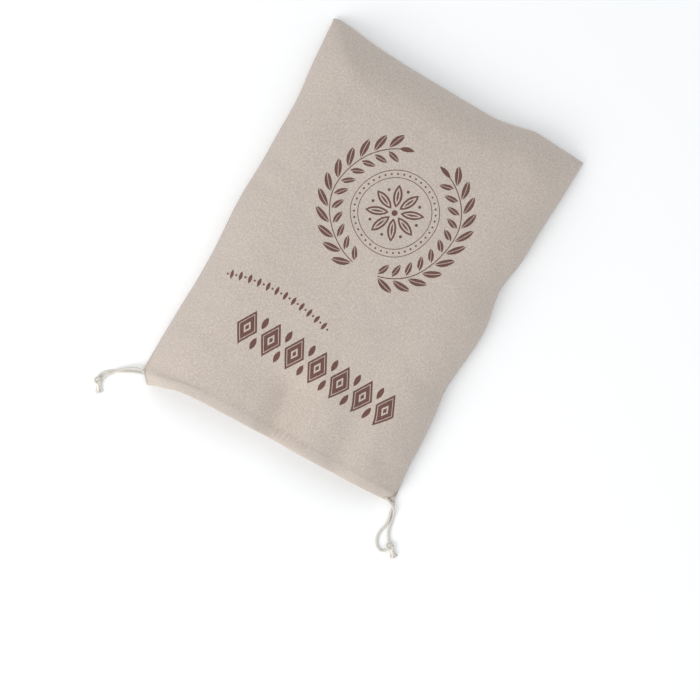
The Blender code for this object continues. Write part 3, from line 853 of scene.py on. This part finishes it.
# The drawstring's free ends.
# Four strands of cream three-ply cotton cord, two at each corner of the mouth: one comes out of the upper
# hem's channel and one out of the lower hem's. They lie on the table and end in a knot.
CORD = 3.0
LYING = CORD / 2 + 0.06
PLY_COUNT = 3
PLY_LAY = 9.0
PLY_RADIUS, PLY_OFFSET = 0.56, 0.44
RING_SIDES = 24
RING_STEP = 0.55
CURVE_STEPS = 20
FIBRE_SCALE, FIBRE_CONTRAST = 2600.0, 1.8
RoutePoint = namedtuple("RoutePoint", "x y z")
ROUTES = {
    "cord_front_left": [
        RoutePoint(-155.4, -212.9, 5.9),
        RoutePoint(-160.2, -213.5, 5.8),
        RoutePoint(-165.2, -215.5, 5.5),
        RoutePoint(-169.8, -218.4, 5.2),
        RoutePoint(-173.9, -221.7, 5.05),
        RoutePoint(-177.6, -225.3, 5.05),
        RoutePoint(-180.9, -229.0, 5.05),
        RoutePoint(-183.9, -232.9, 4.6),
        RoutePoint(-186.5, -236.8, 3.2),
        RoutePoint(-189.3, -241.8, 2.6),
    ],
    "cord_back_left": [
        RoutePoint(-154.2, -215.8, 1.85),
        RoutePoint(-158.6, -217.4, 1.7),
        RoutePoint(-163.4, -219.3, LYING),
        RoutePoint(-168.2, -221.6, LYING),
        RoutePoint(-172.8, -223.9, LYING),
        RoutePoint(-177.2, -226.0, LYING),
        RoutePoint(-181.7, -228.2, LYING),
        RoutePoint(-186.2, -231.0, LYING),
        RoutePoint(-190.4, -234.6, LYING),
        RoutePoint(-192.9, -238.2, LYING + 0.1),
        RoutePoint(-193.5, -240.5, 2.2),
    ],
    "cord_front_right": [
        RoutePoint(138.6, -206.9, 5.5),
        RoutePoint(143.2, -209.0, 5.6),
        RoutePoint(148.0, -211.0, 5.7),
        RoutePoint(151.9, -213.6, 5.2),
        RoutePoint(154.8, -217.0, 3.3),
        RoutePoint(156.1, -221.2, LYING + 0.1),
        RoutePoint(157.2, -226.0, LYING),
        RoutePoint(158.2, -231.0, LYING),
        RoutePoint(159.2, -236.5, LYING),
        RoutePoint(161.2, -241.8, LYING),
        RoutePoint(163.6, -245.6, LYING + 0.1),
        RoutePoint(165.9, -248.3, 2.6),
    ],
    "cord_back_right": [
        RoutePoint(149.6, -207.4, 1.85),
        RoutePoint(151.0, -210.8, 1.7),
        RoutePoint(151.6, -214.8, LYING),
        RoutePoint(152.1, -219.8, LYING),
        RoutePoint(153.5, -225.2, LYING),
        RoutePoint(154.1, -230.2, LYING),
        RoutePoint(153.4, -235.6, LYING),
        RoutePoint(151.9, -241.6, LYING),
        RoutePoint(151.5, -247.4, LYING),
        RoutePoint(152.9, -252.8, LYING),
        RoutePoint(156.2, -257.6, LYING),
        RoutePoint(160.6, -260.2, LYING),
        RoutePoint(164.8, -259.4, LYING + 0.1),
        RoutePoint(166.6, -256.6, 2.4),
    ],
}


def smooth_route(points, spacing):
    """Places about the spacing apart on a smooth curve through the route's points."""
    whole = [Vector(p) for p in points]
    ends = [whole[0] * 2 - whole[1]] + whole + [whole[-1] * 2 - whole[-2]]
    fine = []
    for k in range(1, len(ends) - 2):
        p0, p1, p2, p3 = ends[k - 1:k + 3]
        for step in range(CURVE_STEPS):
            t = step / CURVE_STEPS
            fine.append(0.5 * ((2 * p1) + (p2 - p0) * t + (2 * p0 - 5 * p1 + 4 * p2 - p3) * t * t
                               + (3 * p1 - p0 - 3 * p2 + p3) * t ** 3))
    fine.append(whole[-1])
    lengths = np.concatenate(([0.0], np.cumsum([(b - a).length for a, b in zip(fine, fine[1:])])))
    count = max(2, round(lengths[-1] / spacing))
    targets = np.linspace(0, lengths[-1], count + 1)
    track = np.array(fine)
    return [Vector(p) for p in np.stack([np.interp(targets, lengths, track[:, k]) for k in range(3)], 1)]


def ply_section(angle):
    """How far out a bundle of plies reaches in one direction, as a share of the cord's radius."""
    turn = 2 * math.pi / PLY_COUNT
    inside = (angle + turn / 2) % turn - turn / 2
    return PLY_OFFSET * math.cos(inside) + math.sqrt(PLY_RADIUS ** 2 - (PLY_OFFSET * math.sin(inside)) ** 2)


def draw_out(mesh_builder, route, sides, section, finish=0):
    """Draws a ring out step by step along a route; the section gives the radius at each of its corners."""
    run, rings = 0.0, []
    for k, place in enumerate(route):
        ahead = (route[min(k + 1, len(route) - 1)] - route[max(k - 1, 0)]).normalized()
        if k == 0:
            side = ahead.cross(Vector((0, 0, 1) if abs(ahead.z) < 0.9 else (1, 0, 0)))
            ring = bmesh.ops.create_circle(mesh_builder, segments=sides, radius=1.0)["verts"]
            edges = list({edge for vert in ring for edge in vert.link_edges})
        else:
            run += (place - route[k - 1]).length
            made = bmesh.ops.extrude_edge_only(mesh_builder, edges=edges)["geom"]
            new = {item for item in made if isinstance(item, bmesh.types.BMVert)}
            edges = [item for item in made
                     if isinstance(item, bmesh.types.BMEdge) and set(item.verts) <= new]
            ring = [next(edge.other_vert(old) for edge in old.link_edges if edge.other_vert(old) in new)
                    for old in ring]
        side = (side - ahead * side.dot(ahead)).normalized()
        rise = ahead.cross(side)
        for n, vert in enumerate(ring):
            angle = 2 * math.pi * n / sides
            vert.co = place + (side * math.cos(angle) + rise * math.sin(angle)) * section(run, angle)
        rings.append(ring)
    caps = [mesh_builder.faces.new(ends) for ends in (rings[0], rings[-1])]
    for face in {face for ring in rings for vert in ring for face in vert.link_faces} | set(caps):
        face.material_index = finish


def laid_cord(mesh_builder, route, radius, sides=RING_SIDES):
    """Runs a twisted three-ply cord along a route."""
    draw_out(mesh_builder, route, sides,
             lambda run, angle: radius * ply_section(angle + 2 * math.pi * run / PLY_LAY))


def cotton(name, dark, light):
    """Cream cotton yarn, fuzzy with fine fibres."""
    finish = bpy.data.materials.new(name)
    finish.use_nodes = True
    tree = finish.node_tree
    shader = tree.nodes["Principled BSDF"]
    shader.inputs["Roughness"].default_value = 0.85
    shader.inputs["Sheen Weight"].default_value = 0.2
    shader.inputs["Specular IOR Level"].default_value = 0.2
    where = tree.nodes.new("ShaderNodeTexCoord")
    fibres = tree.nodes.new("ShaderNodeTexNoise")
    fibres.inputs["Scale"].default_value = FIBRE_SCALE
    fibres.inputs["Detail"].default_value = 3.0
    tree.links.new(where.outputs["Object"], fibres.inputs["Vector"])
    fleck = Drawn(tree, fibres.outputs["Fac"])
    color = blend_color(tree, ((fleck - 0.5) * FIBRE_CONTRAST + 0.5).most(0.0).least(1.0), dark, light)
    tree.links.new(color, shader.inputs["Base Color"])
    bump = tree.nodes.new("ShaderNodeBump")
    bump.inputs["Strength"].default_value = 0.5
    bump.inputs["Distance"].default_value = 0.0002
    tree.links.new(fleck.socket, bump.inputs["Height"])
    tree.links.new(bump.outputs["Normal"], shader.inputs["Normal"])
    return finish


cream_cotton = cotton("cream_cotton", (0.57, 0.535, 0.47), (0.78, 0.75, 0.69))
# Painted highlight: the tuft's cotton is a lighter copy of the cord's, painted lighter to make up for the
# shade between its loose fibres.
frayed_cotton_painted_light = cotton("frayed_cotton_painted_light", (0.84, 0.77, 0.70), (0.94, 0.89, 0.83))


def finish_mesh(name, mesh_builder, *finishes):
    """Turns a mesh drawn in millimetres into a finished piece in metres."""
    bmesh.ops.remove_doubles(mesh_builder, verts=mesh_builder.verts, dist=0.0005)
    bmesh.ops.recalc_face_normals(mesh_builder, faces=mesh_builder.faces)
    bmesh.ops.translate(mesh_builder, vec=TO_CENTRE, verts=mesh_builder.verts)
    bmesh.ops.scale(mesh_builder, vec=(MM, MM, MM), verts=mesh_builder.verts)
    mesh = bpy.data.meshes.new(name)
    mesh_builder.to_mesh(mesh)
    mesh_builder.free()
    mesh.shade_smooth()
    for finish in finishes:
        mesh.materials.append(finish)
    piece = bpy.data.objects.new(name, mesh)
    scene.collection.objects.link(piece)
    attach(piece, "root")
    return piece


INSIDE_HEM = {
    "cord_front_left": RoutePoint(-149.8, -214.6, 6.2),
    "cord_back_left": RoutePoint(-148.6, -214.8, 1.95),
    "cord_front_right": RoutePoint(135.0, -205.9, 6.5),
    "cord_back_right": RoutePoint(146.0, -204.6, 1.95),
}
INSIDE_KNOT = {
    "cord_front_left": RoutePoint(-191.0, -245.2, 3.6),
    "cord_back_left": RoutePoint(-192.8, -244.6, 3.2),
    "cord_front_right": RoutePoint(168.2, -251.2, 3.6),
    "cord_back_right": RoutePoint(168.4, -252.6, 3.2),
}
paths = {}
for cord_name, cord_points in ROUTES.items():
    route = smooth_route([INSIDE_HEM[cord_name], *cord_points, INSIDE_KNOT[cord_name]], RING_STEP)
    strand_mesh = bmesh.new()
    laid_cord(strand_mesh, route, CORD / 2)
    strand = finish_mesh("strand_" + cord_name.removeprefix("cord_"), strand_mesh, cream_cotton)
    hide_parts(cord_name)
    paths[cord_name] = [(place + TO_CENTRE) * MM for place in route]

# The knots and their tufts.
# Each pair of strands is tied together in one overhand knot, and the cut ends past it are frayed out
# into a short tuft of loose cotton fibres.
KNOT_SIZE = 1.34
KNOT_CORD = 1.4
KNOT_HEIGHT = 3.85
KNOT_STEPS, KNOT_SIDES = 90, 16
KNOT_TILT = 0.35
KNOT_LONG, KNOT_WIDE, KNOT_DEEP = 0.95, 0.85, 1.05
TUFT_YARNS, YARN_THICK, YARN_SIDES = 9, 2.9, 5
TUFT_FIBRES, FIBRE_THICK, FIBRE_SIDES = 90, 1.0, 3
TUFT_LENGTH, TUFT_STEPS = 11.0, 6
TUFT_FORWARD, TUFT_DOWN = 2.6, 0.9
ROOT_RADIUS, TIP_RADIUS = 0.32, 0.22
TUFT_SPREAD, SHORTEST, LEAN, CURL_MOST = 0.17, 0.66, (-0.14, 0.34), 1.1
TUFT_HALF_WIDE, TUFT_HALF_HIGH = 1.1, 1.0
TUFT_BEND, TUFT_DROOP = 0.16, 0.42
Knot = namedtuple("Knot", "centre tail strands")
KNOTS = {
    "knot_left": Knot(Vector((-191.8, -245.6, KNOT_HEIGHT)), Vector((0.58, -0.815, 0.0)),
                      ("cord_front_left", "cord_back_left")),
    "knot_right": Knot(Vector((168.8, -251.8, KNOT_HEIGHT)), Vector((0.78, -0.63, 0.0)),
                       ("cord_front_right", "cord_back_right")),
}


def knot_loop(centre, tail):
    """The cord's way through a tight overhand knot, lying flat and turned along its tail."""
    turn = Matrix.Rotation(math.atan2(tail.y, tail.x), 3, "Z") @ Matrix.Rotation(KNOT_TILT, 3, "Y")
    way = []
    for k in range(KNOT_STEPS + 1):
        t = 2 * math.pi * k / KNOT_STEPS
        ring = 2 + math.cos(3 * t)
        place = Vector((ring * math.cos(2 * t) * KNOT_LONG, ring * math.sin(2 * t) * KNOT_WIDE,
                        math.sin(3 * t) * KNOT_DEEP))
        way.append(centre + turn @ place * KNOT_SIZE)
    return way


def add_tuft(mesh_builder, start, tail, dice):
    """Untwisted yarns and loose fibres that fan out from the knot and settle towards the table."""
    side = Vector((0, 0, 1)).cross(tail).normalized()
    for order in range(TUFT_YARNS + TUFT_FIBRES):
        yarn = order < TUFT_YARNS
        thick, sides = (YARN_THICK, YARN_SIDES) if yarn else (FIBRE_THICK, FIBRE_SIDES)
        spread = dice.gauss(0.0, TUFT_SPREAD)
        length = TUFT_LENGTH * dice.uniform(SHORTEST, 1.0)
        lean = dice.uniform(*LEAN)
        curl = dice.uniform(-CURL_MOST, CURL_MOST)
        aside = dice.uniform(-TUFT_HALF_WIDE, TUFT_HALF_WIDE)
        above = dice.uniform(-TUFT_HALF_HIGH, TUFT_HALF_HIGH)
        begin = start + side * aside + Vector((0, 0, above))
        way = []
        for k in range(TUFT_STEPS + 1):
            t = k / TUFT_STEPS
            place = begin + tail * (length * t) + side * (length * (spread * t + TUFT_BEND * curl * t * t))
            place.z = max(ROOT_RADIUS * thick, begin.z + length * (lean * t - TUFT_DROOP * t * t))
            way.append(place)
        draw_out(mesh_builder, way, sides,
                 lambda run, angle: thick * mix(ROOT_RADIUS, TIP_RADIUS, run / TUFT_LENGTH), finish=1)


for knot_name, tied in KNOTS.items():
    dice = random.Random(knot_name)
    tail = tied.tail.normalized()
    knot_mesh = bmesh.new()
    laid_cord(knot_mesh, knot_loop(tied.centre, tail), KNOT_CORD, sides=KNOT_SIDES)
    add_tuft(knot_mesh, tied.centre + tail * TUFT_FORWARD - Vector((0, 0, TUFT_DOWN)), tail, dice)
    knot = finish_mesh(knot_name + "_tied", knot_mesh, cream_cotton, frayed_cotton_painted_light)
    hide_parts(knot_name)
    for order, cord_name in enumerate(tied.strands):
        path = paths[cord_name]
        length = sum((b - a).length for a, b in zip(path, path[1:]))
